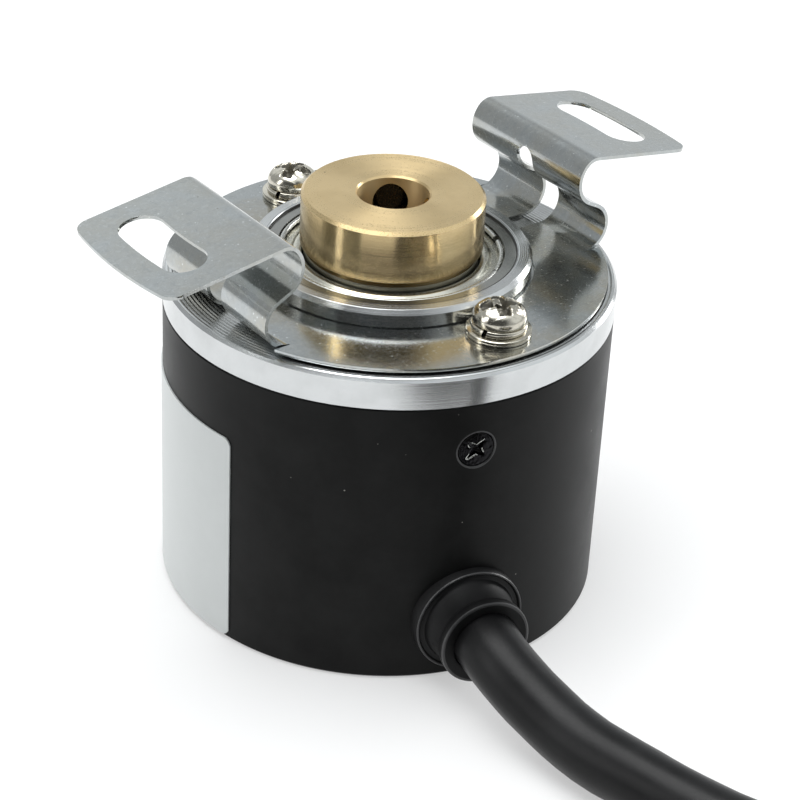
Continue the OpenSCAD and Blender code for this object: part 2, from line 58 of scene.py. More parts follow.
def make_camera():
    """The photograph's viewing angle: 38 degrees round, 30.8 degrees up, with a slight roll."""
    sin_e, cos_e = math.sin(CAMERA_ELEVATION), math.cos(CAMERA_ELEVATION)
    sin_r, cos_r = math.sin(CAMERA_ROLL), math.cos(CAMERA_ROLL)
    turn = Matrix.Rotation(CAMERA_TURN, 3, "Z")
    right = turn @ Vector((cos_r, -sin_r * sin_e, -sin_r * cos_e))
    up = turn @ Vector((sin_r, cos_r * sin_e, cos_r * cos_e))
    back = right.cross(up)
    data = bpy.data.cameras.new("camera")
    data.sensor_width = SENSOR_WIDTH
    data.lens = LENS
    data.clip_start, data.clip_end = 0.01, 20
    camera = bpy.data.objects.new("camera", data)
    bpy.context.scene.collection.objects.link(camera)
    facing = Matrix((right, up, back)).transposed().to_4x4()
    camera.matrix_world = Matrix.Translation(CAMERA_PLACE * MM) @ facing
    bpy.context.scene.camera = camera


make_camera()


# ---------- mesh helpers ----------

def mesh_object(name, verts, faces, body, smooth=35):
    """A mesh from points in millimetres, shaded smooth up to an angle, riding on a body."""
    mesh = bpy.data.meshes.new(name)
    mesh.from_pydata([Vector(v) * MM for v in verts], [], faces)
    mesh.validate()
    bm = bmesh.new()
    bm.from_mesh(mesh)
    bmesh.ops.remove_doubles(bm, verts=bm.verts, dist=1e-7)
    bmesh.ops.recalc_face_normals(bm, faces=bm.faces)
    for edge in bm.edges:
        edge.smooth = len(edge.link_faces) < 2 or edge.calc_face_angle(0) < math.radians(smooth)
    for face in bm.faces:
        face.smooth = True
    bm.to_mesh(mesh)
    bm.free()
    obj = bpy.data.objects.new(name, mesh)
    bpy.context.scene.collection.objects.link(obj)
    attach(obj, body)
    return obj


def arc(c, r, a0, a1, n):
    """Points on an arc in a plane, ends included."""
    steps = [math.radians(a0 + (a1 - a0) * i / n) for i in range(n + 1)]
    return [(c[0] + r * math.cos(a), c[1] + r * math.sin(a)) for a in steps]


def rounded(points, radius, n=3):
    """A polyline with each inner corner rounded by about that radius, in n steps."""
    out = [points[0]]
    for a, b, c in zip(points, points[1:], points[2:]):
        a, b, c = Vector(a), Vector(b), Vector(c)
        cut = min(radius, (a - b).length * 0.45, (c - b).length * 0.45)
        p, q = b + (a - b).normalized() * cut, b + (c - b).normalized() * cut
        out += [tuple(p.lerp(b, t).lerp(b.lerp(q, t), t)) for t in (i / n for i in range(n + 1))]
    return out + [points[-1]]


def lathe(profile, segments=128, place=Matrix.Identity(4), closed=True, wobble=None):
    """Points and faces of a profile of (radius, height) turned about Z, then placed.

    wobble moves each point before it is placed."""
    verts, faces = [], []
    n = len(profile)
    for k in range(segments):
        a = 2 * math.pi * k / segments
        for r, z in profile:
            p = Vector((r * math.cos(a), r * math.sin(a), z))
            verts.append(place @ (wobble(p) if wobble else p))
    for k in range(segments):
        m = (k + 1) % segments
        for i in range(n if closed else n - 1):
            j = (i + 1) % n
            if profile[i][0] > 1e-6 or profile[j][0] > 1e-6:
                faces.append((k * n + i, m * n + i, m * n + j, k * n + j))
    return verts, faces


def join_parts(parts):
    """Several (verts, faces) as one."""
    verts, faces = [], []
    for v, f in parts:
        faces += [tuple(i + len(verts) for i in face) for face in f]
        verts += v
    return verts, faces


def sweep(path, radius, sides, shape=None):
    """A capped tube along a path. shape(i, angle) scales the radius at the path's point i."""
    verts, faces = [], []
    n = len(path)
    side = None
    for i, p in enumerate(path):
        ahead = (path[min(i + 1, n - 1)] - path[max(i - 1, 0)]).normalized()
        if side is None:
            side = ahead.cross(Vector((0, 0, 1))).normalized()
        side = (side - ahead * side.dot(ahead)).normalized()
        up = side.cross(ahead)
        for k in range(sides):
            a = 2 * math.pi * k / sides
            r = radius * (shape(i, a) if shape else 1)
            verts.append(p + side * (r * math.cos(a)) + up * (r * math.sin(a)))
    for i in range(n - 1):
        for k in range(sides):
            m = (k + 1) % sides
            faces.append((i * sides + k, i * sides + m, (i + 1) * sides + m, (i + 1) * sides + k))
    faces.append(tuple(range(sides)))
    faces.append(tuple((n - 1) * sides + k for k in range(sides)))
    return verts, faces


def curve_through(points, step):
    """A smooth line through the points, with a point at about every step."""
    pts = [Vector(p) for p in points]
    pts = [2 * pts[0] - pts[1]] + pts + [2 * pts[-1] - pts[-2]]
    out = []
    for a, b, c, d in zip(pts, pts[1:], pts[2:], pts[3:]):
        count = max(1, round((c - b).length / step))
        t0, t1 = 0, (b - a).length ** 0.5
        t2 = t1 + (c - b).length ** 0.5
        t3 = t2 + (d - c).length ** 0.5
        for i in range(count):
            t = t1 + (t2 - t1) * i / count
            p = a + (b - a) * ((t - t0) / (t1 - t0))
            q = b + (c - b) * ((t - t1) / (t2 - t1))
            r = c + (d - c) * ((t - t2) / (t3 - t2))
            u = p + (q - p) * ((t - t0) / (t2 - t0))
            v = q + (r - q) * ((t - t1) / (t3 - t1))
            out.append(u + (v - u) * ((t - t1) / (t2 - t1)))
    return out + [pts[-2]]


def ease(t):
    """0 to 1 as t goes from 0 to 1, with a gentle start and end."""
    t = min(1, max(0, t))
    return t * t * (3 - 2 * t)


# ---------- cable ----------

COIL = Vector((-18, -96, 0))
COIL_TURN = 15.4
FLOOR_Z, TOP_Z = 3.15, 7.74
OUT, MID, IN, TOP_IN, TOP_OUT = 36.3, 31, 25.7, 28.35, 33.65
HUMP = 0.75


def out_along(r):
    """A point of the cable's axis in the housing, at that distance from the shaft's axis."""
    return Vector((r * math.cos(CABLE_AZ), r * math.sin(CABLE_AZ), CABLE_Z))


def on_coil(angle, r, z):
    """A point by its angle about the coil's centre, its radius and its height."""
    a = math.radians(angle + COIL_TURN)
    return COIL + Vector((r * math.cos(a), r * math.sin(a), z))


def coil_turns():
    """Five turns: three on the surface, going in, then two on top, going out."""
    # Each stretch goes from one angle to another, with its radius, its height and its hump over a turn
    stretches = [
        (11.6, -295, OUT, OUT, FLOOR_Z, FLOOR_Z, 0),
        (-295, -345, OUT, MID, FLOOR_Z, FLOOR_Z, 0),
        (-345, -655, MID, MID, FLOOR_Z, FLOOR_Z, 0),
        (-655, -705, MID, IN, FLOOR_Z, FLOOR_Z, 0),
        (-705, -965, IN, IN, FLOOR_Z, FLOOR_Z, 0),
        (-965, -1010, IN, TOP_IN, FLOOR_Z, TOP_Z, 0),
        (-1010, -1015, TOP_IN, TOP_IN, TOP_Z, TOP_Z, 0),
        (-1015, -1065, TOP_IN, TOP_IN, TOP_Z, TOP_Z, HUMP),
        (-1065, -1275, TOP_IN, TOP_IN, TOP_Z, TOP_Z, 0),
        (-1275, -1325, TOP_IN, TOP_OUT, TOP_Z, TOP_Z, HUMP),
        (-1325, -1375, TOP_OUT, TOP_OUT, TOP_Z, TOP_Z, 0),
        (-1375, -1425, TOP_OUT, TOP_OUT, TOP_Z, TOP_Z, HUMP),
        (-1425, -1635, TOP_OUT, TOP_OUT, TOP_Z, TOP_Z, 0),
    ]
    out = []
    for a0, a1, r0, r1, z0, z1, hump in stretches:
        count = max(1, round((a0 - a1) / 5))
        for i in range(count):
            t = i / count
            if z0 != z1:
                # rolls up over the turn beside it
                turn = math.radians(180 - 60 * ease(t))
                r, z = MID + 2 * CABLE_R * math.cos(turn), FLOOR_Z + 2 * CABLE_R * math.sin(turn)
            else:
                r, z = r0 + (r1 - r0) * ease(t), z0 + hump * math.sin(math.pi * t) ** 2
            out.append(on_coil(a0 + (a1 - a0) * t, r, z))
    return out


# The route from the gland to the coil, as in the CAD part, then the end's (angle, radius, height)
ROUTE = [
    (-5.85, -24.4, 5.3), (-5.75, -27, 4.45), (-5.5, -29.5, 3.7), (-5.2, -32, 3.1), (-4.8, -35, 2.75),
    (-4.1, -38.5, 2.7), (-3.2, -42.7, 2.7), (-1.9, -47.3, 2.7), (0.5, -52.6, 2.7), (5.2, -61.8, 2.75),
    (9.8, -70.7, 2.95),
]
TAIL = [
    (165, 33.65, 7.8), (155, 33.4, 8.8), (145, 32.6, 10.8),
    (135, 31.6, 12.2), (124, 31.1, 13), (112, 31, 13.35),
]
STEP = 1.6


def make_cable():
    """The jacket: straight out of the gland, down to the surface, and round the coil to its free end."""
    start = [out_along(r) for r in (BODY_R, 21, 23)]
    tail = [on_coil(*p) for p in TAIL]
    path = curve_through(start + [Vector(p) for p in ROUTE] + coil_turns() + tail, STEP)

    def lumps(i, a):
        """Slow and quick unevenness, and a jacket a little thicker near the gland, mostly above."""
        p = path[i]
        swell = noise.noise(Vector((p.x, p.y, p.z)) * 0.16) * 0.022
        ripple = noise.noise(Vector((p.x + 2 * math.cos(a), p.y, p.z + 2 * math.sin(a))) * 0.45) * 0.018
        thick = 0.055 * (1 - ease((-24 - p.y) / 40))
        if math.sin(a) < 0:
            thick *= 0.4
        return 1 + swell + ripple + thick

    verts, faces = sweep(path, CABLE_R, 28, lumps)
    cable = mesh_object("cable_lead", verts, faces, "housing", 60)
    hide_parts("cable", "cable_coil", "cable_tail")
    return cable, path


# The free end: where the sleeve starts, how far it and the wires go round, and how high the wires end
SLEEVE_AT, END_R, END_Z = 111.6, 31, 13.35
SLEEVE_TURN, FAN_TURN, FAN_TOP = 15, 62, 10.95
SLEEVE_STEPS, FAN_STEPS, BARE_STEPS = 24, 40, 5
SLEEVE_WALL = 0.25
WIRE_R, STRANDS_R = 0.5, 0.34
WIRE_CIRCLE_R, WIRE_GAP = 1.5, 1.6
WIRE_PLACES = (150, 210, 90, 270, 30, 330)


def make_sleeve():
    """The sleeve shrunk over the end of the jacket."""
    turn = SLEEVE_TURN + 0.4
    path = [on_coil(SLEEVE_AT - turn * i / SLEEVE_STEPS, END_R, END_Z) for i in range(SLEEVE_STEPS + 1)]

    def shrunk(i, a):
        end = ease(min(i, SLEEVE_STEPS - i) / 3)
        return 0.93 + 0.07 * end + 0.012 * noise.noise(Vector((i * 0.35, 2 * math.cos(a), 2 * math.sin(a))))

    piece = mesh_object("shrink_sleeve", *sweep(path, CABLE_R + SLEEVE_WALL, 40, shrunk), "housing", 60)
    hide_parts("end_sleeve")
    return piece


def lead_route(k):
    """One wire's route, from its place in the sleeve to its place in the fan on top of the coil."""
    place = math.radians(WIRE_PLACES[k])
    r0, z0 = WIRE_CIRCLE_R * math.cos(place), WIRE_CIRCLE_R * math.sin(place)
    r1, z1 = (k - 2.5) * WIRE_GAP, FAN_TOP - END_Z
    route = []
    for i in range(FAN_STEPS + 1):
        f = i / FAN_STEPS
        r, z = END_R + r0 + ease(f) * (r1 - r0), END_Z + z0 + ease(f) * (z1 - z0)
        route.append(on_coil(SLEEVE_AT - SLEEVE_TURN - FAN_TURN * f, r, z))
    return route


def twisted(i, a):
    """The outline of five twisted strands."""
    return 1 + 0.12 * math.cos(5 * a + 0.8 * i)


def make_leads():
    """Six wires that fan out over the coil, each with a stripped and tinned end."""
    routes = [lead_route(k) for k in range(len(WIRE_PLACES))]
    parts = []
    for route in routes:
        parts.append(sweep(route[:-BARE_STEPS], WIRE_R, 16))
        parts.append(sweep(route[-BARE_STEPS - 2:], STRANDS_R, 15, twisted))
    piece = mesh_object("stripped_leads", *join_parts(parts), "housing", 60)
    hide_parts("lead_wires")
    return piece, routes


# Z points out along the cable's axis
GLAND_PLACE = (Matrix.Rotation(CABLE_AZ, 4, "Z") @ Matrix.Translation((0, 0, CABLE_Z))
               @ Matrix.Rotation(math.radians(90), 4, "Y"))


def make_gland():
    """The rubber bush where the cable leaves: a lipped flange, a tapered neck and a lipped nose."""
    bore = [(2.72, 17.6), (2.72, 22.8), (2.78, 22.93), (2.92, 22.97)]
    nose = [(3.5, 22.97), (3.6, 23), (3.76, 23), (3.83, 22.95), (3.85, 22.86), (3.85, 22.25), (3.8, 22.14),
            (3.62, 22.1), (3.5, 22.02)]
    neck = [(3.47, 21.8), (3.9, 19.8), (3.98, 19.66), (4.1, 19.6)]
    flange = [(4.38, 19.6), (4.46, 19.72), (4.54, 19.8), (4.64, 19.8), (4.7, 19.7), (4.7, 17.6)]
    profile = bore + nose + neck + flange
    piece = mesh_object("gland_bush", *lathe(profile, 144, GLAND_PLACE), "housing", 32)
    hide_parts("cable_gland")
    return piece


cable, cable_path = make_cable()
sleeve, gland = make_sleeve(), make_gland()
leads, lead_routes = make_leads()

# ---------- materials ----------

class Paint:
    """One procedural material. Its patterns are in millimetres of the object that wears it."""

    def __init__(self, name, colour, metallic=0.0, roughness=0.5, **sockets):
        self.material = bpy.data.materials.new(name)
        self.material.use_nodes = True
        self.tree = self.material.node_tree
        self.shader = self.tree.nodes["Principled BSDF"]
        self.set(**{"Base Color": (*colour, 1), "Metallic": metallic, "Roughness": roughness}, **sockets)
        coord = self.tree.nodes.new("ShaderNodeTexCoord").outputs["Object"]
        self.at = self.node("VectorMath", {0: coord, "Scale": 1000.0}, operation="SCALE").outputs[0]

    def node(self, kind, inputs=None, **settings):
        node = self.tree.nodes.new("ShaderNode" + kind)
        for key, value in settings.items():
            setattr(node, key, value)
        for key, value in (inputs or {}).items():
            self.put(node.inputs[key], value)
        return node

    def put(self, socket, value):
        if isinstance(value, bpy.types.NodeSocket):
            self.tree.links.new(value, socket)
        else:
            socket.default_value = value

    def set(self, **sockets):
        for key, value in sockets.items():
            self.put(self.shader.inputs[key.replace("_", " ")], value)

    def maths(self, operation, a, b=0.0):
        return self.node("Math", {0: a, 1: b}, operation=operation).outputs[0]

    def noise(self, scale, detail=3.0, roughness=0.5, at=None, distortion=0.0):
        inputs = {"Vector": at or self.at, "Scale": scale, "Detail": detail, "Roughness": roughness,
                  "Distortion": distortion}
        return self.node("TexNoise", inputs).outputs["Fac"]

    def stretched(self, x, y, z):
        """The place, scaled by axis, so that noise on it makes streaks."""
        return self.node("VectorMath", {0: self.at, 1: (x, y, z)}, operation="MULTIPLY").outputs[0]

    def radius_and_height(self):
        """Distance from the shaft's axis, and height."""
        split = self.node("SeparateXYZ", {0: self.at}).outputs
        flat = self.node("CombineXYZ", {0: split[0], 1: split[1]}).outputs[0]
        return self.node("VectorMath", {0: flat}, operation="LENGTH").outputs["Value"], split[2]

    def turned(self, scale):
        """A place by radius and height, scaled, so that noise on it makes a lathe's rings."""
        radius, height = self.radius_and_height()
        inputs = {0: self.maths("MULTIPLY", radius, scale), 1: self.maths("MULTIPLY", height, scale)}
        return self.node("CombineXYZ", inputs).outputs[0]

    def band(self, fac, low, high, out_low=0.0, out_high=1.0):
        """fac, from low to high, as out_low to out_high."""
        return self.node("MapRange", {0: fac, 1: low, 2: high, 3: out_low, 4: out_high}).outputs[0]

    def blend(self, fac, a, b):
        node = self.node("Mix", {0: fac}, data_type="RGBA")
        for socket, value in ((node.inputs[6], a), (node.inputs[7], b)):
            self.put(socket, value if isinstance(value, bpy.types.NodeSocket) else (*value, 1))
        return node.outputs[2]

    def bump(self, height, distance, under=None):
        """distance is the height's range in millimetres. under is a coarser or finer bump that it lies on."""
        inputs = {"Height": height, "Distance": distance * MM, "Strength": 1}
        if under:
            inputs["Normal"] = under
        return self.node("Bump", inputs).outputs[0]

    def specks(self, scale, size, share):
        """1 in scattered small spots, 0 elsewhere. share is the share of the cells that have one."""
        cells = self.node("TexVoronoi", {"Vector": self.at, "Scale": scale})
        near = self.band(cells.outputs["Distance"], size * 0.6, size, 1, 0)
        lot = self.node("SeparateColor", {0: cells.outputs["Color"]}).outputs[0]
        return self.maths("MULTIPLY", near, self.band(lot, 1 - share, 1 - share + 0.01))

    def speckled(self, tone, spots, amount, colour):
        """tone with some of another colour where spots is 1."""
        return self.blend(self.maths("MULTIPLY", spots, amount), tone, colour)

    def dress(self, *wearers):
        """This finish on CAD nodes, by name, and on pieces."""
        for wearer in wearers:
            mesh = (nodes[wearer] if isinstance(wearer, str) else wearer).data
            mesh.materials.clear()
            mesh.materials.append(self.material)


def machined(name, colour, dark, roughness, rings, depth, anisotropy=0.6, wear=0.35, pits=0.0, grit=0.4,
             side=1.0, bore=0.0):
    """Turned metal: fine lathe rings, cloudy wear and pits.

    side scales the roughness of upright faces. bore, where it is given, is the roughness of the bore's wall."""
    paint = Paint(name, colour, 1.0, roughness, Anisotropic=anisotropy, Anisotropic_Rotation=0.25)
    groove = paint.noise(1.0, 3, 0.65, paint.turned(rings))
    cloud = paint.noise(0.35, 4, 0.6)
    fine = paint.noise(9, 2)
    tone = paint.blend(paint.band(cloud, 0.4, 0.75, 0, wear), colour, dark)
    if pits:
        tone = paint.speckled(tone, paint.specks(0.75, 0.07, pits), 0.8, (0.08, 0.06, 0.03))
    normal = paint.node("TexCoord").outputs["Normal"]
    level = paint.maths("ABSOLUTE", paint.node("SeparateXYZ", {0: normal}).outputs[2])
    rough = paint.band(paint.maths("ADD", groove, fine), 0.6, 1.4, roughness * 0.7, roughness * 1.35)
    rough = paint.maths("MULTIPLY", rough, paint.band(level, 0.3, 0.8, side, 1))
    if bore:
        within = paint.band(paint.radius_and_height()[0], 2.9, 3.3, 1, 0)
        wall = paint.maths("MULTIPLY", within, paint.band(level, 0.3, 0.8, 1, 0))
        rough = paint.maths("ADD", rough, paint.maths("MULTIPLY", wall, bore - roughness * side))
    paint.set(**{
        "Base Color": tone,
        "Roughness": rough,
        "Normal": paint.bump(groove, depth, paint.bump(fine, depth * grit)),
        "Tangent": paint.node("Tangent", direction_type="RADIAL", axis="Z").outputs[0],
    })
    return paint


def moulded(name, colour, roughness, grain, depth, light=None, dust=0.0, **sockets):
    """Plastic, rubber or paint: a fine grain, cloudy gloss and a little dust."""
    paint = Paint(name, colour, 0.0, roughness, **sockets)
    fine = paint.noise(grain, 3, 0.6)
    cloud = paint.noise(0.25, 4, 0.6)
    light = light or tuple(min(1, c * 1.6 + 0.004) for c in colour)
    tone = paint.blend(paint.band(cloud, 0.35, 0.75), colour, light)
    if dust:
        tone = paint.speckled(tone, paint.specks(1.1, 0.09, dust), 0.5, (0.5, 0.48, 0.44))
    paint.set(**{
        "Base Color": tone,
        "Roughness": paint.band(paint.maths("ADD", fine, cloud), 0.6, 1.4, roughness * 0.85, roughness * 1.2),
        "Normal": paint.bump(fine, depth, paint.bump(cloud, depth * 2)),
    })
    return paint


def plated(name, colour, roughness, dark=None, spots=0.25, stain=None):
    """Rolled or plated metal: soft waves, fine scratches, dull spots and, on a worn one, warm stains."""
    paint = Paint(name, colour, 1.0, roughness)
    wave = paint.noise(0.22, 2, 0.5)
    scratch = paint.noise(1.0, 4, 0.7, paint.stretched(0.6, 14, 6))
    mottle = paint.noise(3.2, 5, 0.75)
    dull = paint.band(mottle, 0.52, 0.72, 0, 1)
    dark = dark or tuple(c * 0.75 for c in colour)
    tone = paint.blend(paint.maths("MULTIPLY", dull, spots), colour, dark)
    if stain:
        # stains on the plate more than on the ears, then flakes, dark flecks, and bright and dark specks
        cloud = paint.band(paint.noise(0.16, 5, 0.62, distortion=0.4), 0.36, 0.58, 0, 0.9)
        low = paint.band(paint.radius_and_height()[1], 29.5, 33, 1, 0.45)
        flakes = paint.band(paint.noise(2.4, 4, 0.75), 0.5, 0.68, 0, 0.4)
        flecks = paint.band(paint.noise(1.7, 4, 0.75, distortion=0.5), 0.52, 0.7, 0, 0.55)
        tone = paint.speckled(tone, cloud, low, stain)
        tone = paint.blend(flakes, tone, (0.58, 0.61, 0.61))
        tone = paint.blend(flecks, tone, dark)
        tone = paint.speckled(tone, paint.specks(1.5, 0.14, 0.35), 0.6, (0.86, 0.9, 0.9))
        tone = paint.speckled(tone, paint.specks(0.8, 0.07, 0.25), 0.6, (0.16, 0.14, 0.12))
    paint.set(**{
        "Base Color": tone,
        "Roughness": paint.band(paint.maths("ADD", dull, scratch), 0.3, 1.6, roughness * 0.7, roughness * 2.0),
        "Normal": paint.bump(scratch, 0.0012, paint.bump(wave, 0.02)),
    })
    return paint


def finish_part(piece, paint, chosen):
    """Another finish on the faces that are chosen by their centre, in millimetres."""
    piece.data.materials.append(paint.material)
    for face in piece.data.polygons:
        if chosen(face.center / MM):
            face.material_index = len(piece.data.materials) - 1


can_black = moulded("can_black", (0.004, 0.0041, 0.004), 0.38, 14, 0.004, dust=0.06, Specular_IOR_Level=0.12)
# A lighter, glossier black than the can's: painted sheen along the gland's lips and the rims of the side screw
# holes, with wear on the lips.
edge_wear_and_sheen = moulded("edge_wear_and_sheen", (0.03, 0.03, 0.031), 0.34, 9, 0.004, Specular_IOR_Level=0.5)
# Near-black: painted shade for the joint round the front bearing.
painted_seam_shade = moulded("painted_seam_shade", (0.006, 0.006, 0.0055), 0.5, 12, 0.003)
rubber = moulded("rubber_black", (0.0045, 0.0045, 0.0048), 0.46, 8, 0.006, dust=0.03, Specular_IOR_Level=0.2)
jacket = moulded("cable_black", (0.004, 0.004, 0.0044), 0.36, 6, 0.006, dust=0.03, Specular_IOR_Level=0.22)
foil = moulded("label_foil", (0.62, 0.645, 0.64), 0.38, 16, 0.002, (0.65, 0.675, 0.67))
flange_metal = machined("flange_metal", (0.62, 0.635, 0.64), (0.42, 0.43, 0.43), 0.21, 7, 0.004, side=0.82)
hub_brass = machined("hub_brass", (0.76, 0.585, 0.32), (0.58, 0.43, 0.21), 0.32, 9, 0.0014, 0.75, wear=0.5,
                     pits=0.12, grit=0.25, side=0.62, bore=0.62)
bearing_metal = machined("bearing_metal", (0.36, 0.365, 0.35), (0.24, 0.24, 0.225), 0.22, 6, 0.003, 0.4)
shield_metal = machined("shield_metal", (0.60, 0.59, 0.52), (0.44, 0.42, 0.35), 0.24, 5, 0.0015, 0.5)
# A darker, warmer copy of the bearing steel: painted shade on the front inner ring, which sits in the shadowed
# gap under the hub.
painted_shade_steel = machined("painted_shade_steel", (0.34, 0.33, 0.28), (0.2, 0.19, 0.16), 0.35, 6, 0.003, 0.4)
sheet_metal = plated("sheet_metal", (0.46, 0.485, 0.49), 0.17, (0.35, 0.375, 0.385), stain=(0.45, 0.43, 0.37))
screw_metal = plated("screw_metal", (0.61, 0.58, 0.50), 0.2, (0.30, 0.28, 0.22), 0.6)
# A darker copy of the screw metal: painted shade in the deep part of each cross recess.
screw_recess_shade = plated("screw_recess_shade", (0.24, 0.23, 0.20), 0.34, (0.08, 0.075, 0.06), 0.7)
ring_metal = plated("ring_metal", (0.52, 0.525, 0.50), 0.26, (0.36, 0.36, 0.34), 0.4)
worn_black = plated("worn_black", (0.016, 0.016, 0.017), 0.22, (0.006, 0.006, 0.006), 0.6)
black_steel = plated("black_steel", (0.05, 0.05, 0.055), 0.3, (0.02, 0.02, 0.02), 0.6)
wire_metal = plated("wire_metal", (0.72, 0.73, 0.72), 0.16)
wire_skins = [moulded("wire_" + name, colour, 0.35, 10, 0.003) for name, colour in (
    ("red", (0.42, 0.03, 0.02)), ("black", (0.012, 0.012, 0.012)), ("green", (0.03, 0.2, 0.05)),
    ("white", (0.62, 0.62, 0.59)), ("yellow", (0.6, 0.42, 0.03)), ("grey", (0.17, 0.17, 0.18)))]
# inside the can
dark_plastic = moulded("dark_plastic", (0.02, 0.02, 0.022), 0.45, 12, 0.004)
white_plastic = moulded("white_plastic", (0.75, 0.73, 0.66), 0.4, 10, 0.004)
board_green = moulded("board_green", (0.02, 0.16, 0.07), 0.3, 6, 0.006)
ceramic = moulded("ceramic_tan", (0.36, 0.24, 0.13), 0.5, 12, 0.003)
glass = moulded("disc_glass", (0.10, 0.13, 0.14), 0.08, 3, 0.001)
lamp = moulded("lamp_resin", (0.7, 0.74, 0.78), 0.08, 4, 0.001)
alloy = machined("alloy", (0.68, 0.68, 0.69), (0.5, 0.5, 0.5), 0.25, 6, 0.004)
post_brass = machined("post_brass", (0.70, 0.53, 0.27), (0.5, 0.36, 0.18), 0.25, 6, 0.004)

can_black.dress("housing_cap")
flange_metal.dress("front_flange")
hub_brass.dress("hollow_shaft")
screw_metal.dress("board_screws", "holder_screws", "disc_screw")
bearing_metal.dress("front_outer_ring", "rear_outer_ring", "rear_inner_ring", "spacer_sleeve",
                    "front_balls", "rear_balls")
shield_metal.dress("rear_shields")
wire_metal.dress("led_leads")
ring_metal.dress("front_snap_rings", "rear_snap_rings")
# The front inner ring takes the painted shade.
painted_shade_steel.dress("front_inner_ring")
black_steel.dress("set_screw_a", "set_screw_b", "shaft_circlip")
foil.dress("rating_label")
dark_plastic.dress("driver_chip", "comparator_chip", "led_holder", "sensor_array")
white_plastic.dress("wire_connector")
wire_skins[0].dress("inner_wires")
board_green.dress("circuit_board")
ceramic.dress("capacitors")
alloy.dress("disc_hub", "disc_clamp", "cable_clip")
post_brass.dress("board_standoffs", "front_cage", "rear_cage")
glass.dress("code_disc", "mask_plate")
lamp.dress("led_emitter")
rubber.dress("coil_tie", sleeve, gland)
jacket.dress(cable)


def on_lip(p):
    """Whether a point is on one of the gland's two lips, which are worn and take a lighter black as painted
    sheen.
    """
    local = GLAND_PLACE.inverted() @ p
    r = local.to_2d().length
    return (r > 4.46 and local.z > 19.68) or (r > 3.6 and local.z > 22.9)


def lead_finish(p):
    """Which finish a point of the leads has: its wire's own, or the last, on a bare end."""
    distance, k, i = min(((q - p).length, k, i) for k, route in enumerate(lead_routes)
                         for i, q in enumerate(route))
    bare = i > FAN_STEPS - BARE_STEPS and distance < 0.48
    return len(wire_skins) if bare else k


def finish_leads():
    """A colour for each wire, and tin on the bare ends."""
    leads.data.materials.clear()
    for skin in wire_skins + [wire_metal]:
        leads.data.materials.append(skin.material)
    for face in leads.data.polygons:
        face.material_index = lead_finish(face.center / MM)


# The lips take the lighter black: wear and painted sheen.
finish_part(gland, edge_wear_and_sheen, on_lip)
finish_leads()

# ---------- bracket ----------

# The bends, from the plate outwards: the low bend, a short run, the high bend, its tighter crown, and the ear
BEND_X, LOW_R, HIGH_R, LEAN, EAR_SLOPE = 15.2, 2.15, 2.28, 27, 9
CROWN_R, CROWN_AT = 1.4, 140
PLATE_Z = LAND_TOP + SHEET / 2
# C is a bend's centre, and S is how far along the flat blank a stretch ends
LOW_C = (BEND_X, PLATE_Z + LOW_R)
LOW_END = arc(LOW_C, LOW_R, 90 - LEAN, 90 - LEAN, 1)[0]
RUN = 1.05
lean, slope = math.radians(LEAN), math.radians(EAR_SLOPE)
RUN_END = (LOW_END[0] - RUN * math.cos(lean), LOW_END[1] + RUN * math.sin(lean))
HIGH_C = (RUN_END[0] + HIGH_R * math.sin(lean), RUN_END[1] + HIGH_R * math.cos(lean))
crown = math.radians(CROWN_AT)
CROWN_C = (HIGH_C[0] + (HIGH_R - CROWN_R) * math.cos(crown), HIGH_C[1] + (HIGH_R - CROWN_R) * math.sin(crown))
EAR_START = (CROWN_C[0] + CROWN_R * math.sin(slope), CROWN_C[1] + CROWN_R * math.cos(slope))
S_LOW = BEND_X + LOW_R * math.radians(180 - LEAN)
S_RUN = S_LOW + RUN
S_HIGH = S_RUN + HIGH_R * math.radians(270 - LEAN - CROWN_AT)
S_EAR = S_HIGH + CROWN_R * math.radians(CROWN_AT - 90 + EAR_SLOPE)
EAR_TIP_X, EAR_SLOT_X = 26.6, 22.35
S_TIP = S_EAR + (EAR_TIP_X - EAR_START[0]) / math.cos(slope)
S_SLOT = S_EAR + (EAR_SLOT_X - EAR_START[0]) / math.cos(slope)
TIP_R = 40
PLATE_R, HOLE_R, SCREW_HOLE_R = 18.2, 12, 1.38
ARM_Y, RELIEF = 7.25, 0.15
WINDOW_HALF, WINDOW_END = 1.05, 25.09


def bent(s, y):
    """A point of the flat blank, s along X and y across, on the bent bracket's middle surface."""
    side = 1 if s >= 0 else -1
    s = abs(s)
    if s <= BEND_X or abs(y) > ARM_Y + RELIEF / 2:
        x, z = s, PLATE_Z
    elif s <= S_LOW:
        a = -math.pi / 2 + (s - BEND_X) / LOW_R
        x, z = LOW_C[0] + LOW_R * math.cos(a), LOW_C[1] + LOW_R * math.sin(a)
    elif s <= S_RUN:
        x, z = LOW_END[0] - (s - S_LOW) * math.cos(lean), LOW_END[1] + (s - S_LOW) * math.sin(lean)
    elif s <= S_HIGH:
        a = math.radians(270 - LEAN) - (s - S_RUN) / HIGH_R
        x, z = HIGH_C[0] + HIGH_R * math.cos(a), HIGH_C[1] + HIGH_R * math.sin(a)
    elif s <= S_EAR:
        a = crown - (s - S_HIGH) / CROWN_R
        x, z = CROWN_C[0] + CROWN_R * math.cos(a), CROWN_C[1] + CROWN_R * math.sin(a)
    else:
        x, z = EAR_START[0] + (s - S_EAR) * math.cos(slope), EAR_START[1] - (s - S_EAR) * math.sin(slope)
    return side * x, y, z


